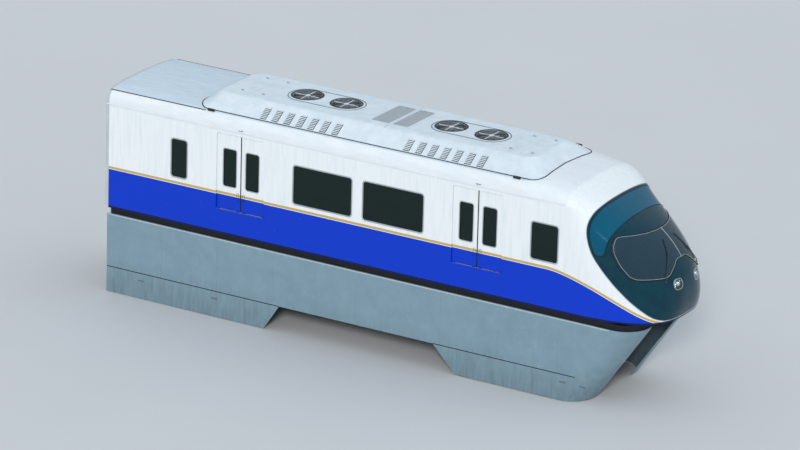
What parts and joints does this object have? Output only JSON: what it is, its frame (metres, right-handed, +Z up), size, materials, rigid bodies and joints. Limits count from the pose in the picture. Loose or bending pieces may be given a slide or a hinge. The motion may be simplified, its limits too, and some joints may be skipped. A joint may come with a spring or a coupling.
{
  "type": "straddle-beam monorail end car",
  "caption": "Driving end car of a straddle-beam monorail, with pocket doors, rounded nose, deep skirts and two bogies.",
  "frame": {"origin": "on the top face of the guide beam, midway between the two bogies and in the middle of the beam's width", "axes": "+X forward to the nose, +Y to the car's left, +Z up"},
  "size_m": [14.73, 2.98, 5.172],
  "materials": {
    "body_white": "gloss",
    "skirt_grey": "satin",
    "mask_dark": "gloss",
    "window_glass": "polished",
    "visor_blue": "polished",
    "lamp": "polished",
    "frame_steel": "satin",
    "tyre": "matte",
    "bellows": "matte",
    "seat_fabric": "matte",
    "desk": "matte",
    "rail": "satin"
  },
  "bodies": {
    "car_body": {"bench_left": "seat_fabric", "bench_right": "seat_fabric", "cab_partition": "body_white", "coupler": "frame_steel", "driver_desk": "desk", "driver_seat": "seat_fabric", "gangway_bellows": "bellows", "grab_rails": "rail", "headlamp_left": "lamp", "headlamp_right": "lamp", "nose_mask": "mask_dark", "nose_shell": "body_white", "rear_end_wall": "body_white", "roof": "body_white", "roof_fairing": "body_white", "side_wall_left": "body_white", "side_wall_right": "body_white", "skirt_lower_front_left": "skirt_grey", "skirt_lower_front_right": "skirt_grey", "skirt_lower_rear_left": "skirt_grey", "skirt_lower_rear_right": "skirt_grey", "skirt_upper_left": "skirt_grey", "skirt_upper_right": "skirt_grey", "underframe": "frame_steel", "visor_glass": "visor_blue", "window_front_left": "window_glass", "window_front_right": "window_glass", "window_middle_front_left": "window_glass", "window_middle_front_right": "window_glass", "window_middle_rear_left": "window_glass", "window_middle_rear_right": "window_glass", "window_rear_left": "window_glass", "window_rear_right": "window_glass", "windscreen": "window_glass"},
    "bogie_rear": {"bogie_frame_rear": "frame_steel"},
    "axle_rear_a": {"wheelset_rear_a": "tyre"},
    "guide_rear_left_a": {"guide_wheel_rear_left_a": "tyre"},
    "guide_rear_right_a": {"guide_wheel_rear_right_a": "tyre"},
    "axle_rear_b": {"wheelset_rear_b": "tyre"},
    "guide_rear_left_b": {"guide_wheel_rear_left_b": "tyre"},
    "guide_rear_right_b": {"guide_wheel_rear_right_b": "tyre"},
    "stabilizing_rear_left": {"stabilizer_rear_left": "tyre"},
    "stabilizing_rear_right": {"stabilizer_rear_right": "tyre"},
    "bogie_front": {"bogie_frame_front": "frame_steel"},
    "axle_front_a": {"wheelset_front_a": "tyre"},
    "guide_front_left_a": {"guide_wheel_front_left_a": "tyre"},
    "guide_front_right_a": {"guide_wheel_front_right_a": "tyre"},
    "axle_front_b": {"wheelset_front_b": "tyre"},
    "guide_front_left_b": {"guide_wheel_front_left_b": "tyre"},
    "guide_front_right_b": {"guide_wheel_front_right_b": "tyre"},
    "stabilizing_front_left": {"stabilizer_front_left": "tyre"},
    "stabilizing_front_right": {"stabilizer_front_right": "tyre"},
    "leaf_rear_left_a": {"door_rear_left_a": "body_white"},
    "leaf_rear_left_b": {"door_rear_left_b": "body_white"},
    "leaf_front_left_a": {"door_front_left_a": "body_white"},
    "leaf_front_left_b": {"door_front_left_b": "body_white"},
    "leaf_rear_right_a": {"door_rear_right_a": "body_white"},
    "leaf_rear_right_b": {"door_rear_right_b": "body_white"},
    "leaf_front_right_a": {"door_front_right_a": "body_white"},
    "leaf_front_right_b": {"door_front_right_b": "body_white"}
  },
  "joints": [
    {"name": "bogie_rear_yaw", "type": "hinge", "parent": "car_body", "child": "bogie_rear", "pos_m": [-4.4, 0, 1.04], "axis": [0, 0, 1], "range_deg": [-3, 3]},
    {"name": "axle_rear_a_spin", "type": "hinge", "parent": "bogie_rear", "child": "axle_rear_a", "pos_m": [-5.15, 0, 0.4826], "axis": [0, 1, 0], "continuous": true},
    {"name": "guide_rear_left_a_spin", "type": "hinge", "parent": "bogie_rear", "child": "guide_rear_left_a", "pos_m": [-5.65, 0.79, -0.35], "axis": [0, 0, 1], "continuous": true},
    {"name": "guide_rear_right_a_spin", "type": "hinge", "parent": "bogie_rear", "child": "guide_rear_right_a", "pos_m": [-5.65, -0.79, -0.35], "axis": [0, 0, 1], "continuous": true},
    {"name": "axle_rear_b_spin", "type": "hinge", "parent": "bogie_rear", "child": "axle_rear_b", "pos_m": [-3.65, 0, 0.4826], "axis": [0, 1, 0], "continuous": true},
    {"name": "guide_rear_left_b_spin", "type": "hinge", "parent": "bogie_rear", "child": "guide_rear_left_b", "pos_m": [-3.15, 0.79, -0.35], "axis": [0, 0, 1], "continuous": true},
    {"name": "guide_rear_right_b_spin", "type": "hinge", "parent": "bogie_rear", "child": "guide_rear_right_b", "pos_m": [-3.15, -0.79, -0.35], "axis": [0, 0, 1], "continuous": true},
    {"name": "stabilizing_rear_left_spin", "type": "hinge", "parent": "bogie_rear", "child": "stabilizing_rear_left", "pos_m": [-4.4, 0.79, -1.1], "axis": [0, 0, 1], "continuous": true},
    {"name": "stabilizing_rear_right_spin", "type": "hinge", "parent": "bogie_rear", "child": "stabilizing_rear_right", "pos_m": [-4.4, -0.79, -1.1], "axis": [0, 0, 1], "continuous": true},
    {"name": "bogie_front_yaw", "type": "hinge", "parent": "car_body", "child": "bogie_front", "pos_m": [4.4, 0, 1.04], "axis": [0, 0, 1], "range_deg": [-3, 3]},
    {"name": "axle_front_a_spin", "type": "hinge", "parent": "bogie_front", "child": "axle_front_a", "pos_m": [3.65, 0, 0.4826], "axis": [0, 1, 0], "continuous": true},
    {"name": "guide_front_left_a_spin", "type": "hinge", "parent": "bogie_front", "child": "guide_front_left_a", "pos_m": [3.15, 0.79, -0.35], "axis": [0, 0, 1], "continuous": true},
    {"name": "guide_front_right_a_spin", "type": "hinge", "parent": "bogie_front", "child": "guide_front_right_a", "pos_m": [3.15, -0.79, -0.35], "axis": [0, 0, 1], "continuous": true},
    {"name": "axle_front_b_spin", "type": "hinge", "parent": "bogie_front", "child": "axle_front_b", "pos_m": [5.15, 0, 0.4826], "axis": [0, 1, 0], "continuous": true},
    {"name": "guide_front_left_b_spin", "type": "hinge", "parent": "bogie_front", "child": "guide_front_left_b", "pos_m": [5.65, 0.79, -0.35], "axis": [0, 0, 1], "continuous": true},
    {"name": "guide_front_right_b_spin", "type": "hinge", "parent": "bogie_front", "child": "guide_front_right_b", "pos_m": [5.65, -0.79, -0.35], "axis": [0, 0, 1], "continuous": true},
    {"name": "stabilizing_front_left_spin", "type": "hinge", "parent": "bogie_front", "child": "stabilizing_front_left", "pos_m": [4.4, 0.79, -1.1], "axis": [0, 0, 1], "continuous": true},
    {"name": "stabilizing_front_right_spin", "type": "hinge", "parent": "bogie_front", "child": "stabilizing_front_right", "pos_m": [4.4, -0.79, -1.1], "axis": [0, 0, 1], "continuous": true},
    {"name": "door_rear_left_a_slide", "type": "slide", "parent": "car_body", "child": "leaf_rear_left_a", "axis": [-1, 0, 0], "range_m": [0, 0.64]},
    {"name": "door_rear_left_b_slide", "type": "slide", "parent": "car_body", "child": "leaf_rear_left_b", "axis": [1, 0, 0], "range_m": [0, 0.64]},
    {"name": "door_front_left_a_slide", "type": "slide", "parent": "car_body", "child": "leaf_front_left_a", "axis": [-1, 0, 0], "range_m": [0, 0.64]},
    {"name": "door_front_left_b_slide", "type": "slide", "parent": "car_body", "child": "leaf_front_left_b", "axis": [1, 0, 0], "range_m": [0, 0.64]},
    {"name": "door_rear_right_a_slide", "type": "slide", "parent": "car_body", "child": "leaf_rear_right_a", "axis": [-1, 0, 0], "range_m": [0, 0.64]},
    {"name": "door_rear_right_b_slide", "type": "slide", "parent": "car_body", "child": "leaf_rear_right_b", "axis": [1, 0, 0], "range_m": [0, 0.64]},
    {"name": "door_front_right_a_slide", "type": "slide", "parent": "car_body", "child": "leaf_front_right_a", "axis": [-1, 0, 0], "range_m": [0, 0.64]},
    {"name": "door_front_right_b_slide", "type": "slide", "parent": "car_body", "child": "leaf_front_right_b", "axis": [1, 0, 0], "range_m": [0, 0.64]}
  ],
  "couplings": [
    {"joint": "door_rear_left_b_slide", "follows": "door_rear_left_a_slide", "ratio": 1},
    {"joint": "door_front_left_b_slide", "follows": "door_front_left_a_slide", "ratio": 1},
    {"joint": "door_rear_right_b_slide", "follows": "door_rear_right_a_slide", "ratio": 1},
    {"joint": "door_front_right_b_slide", "follows": "door_front_right_a_slide", "ratio": 1}
  ]
}
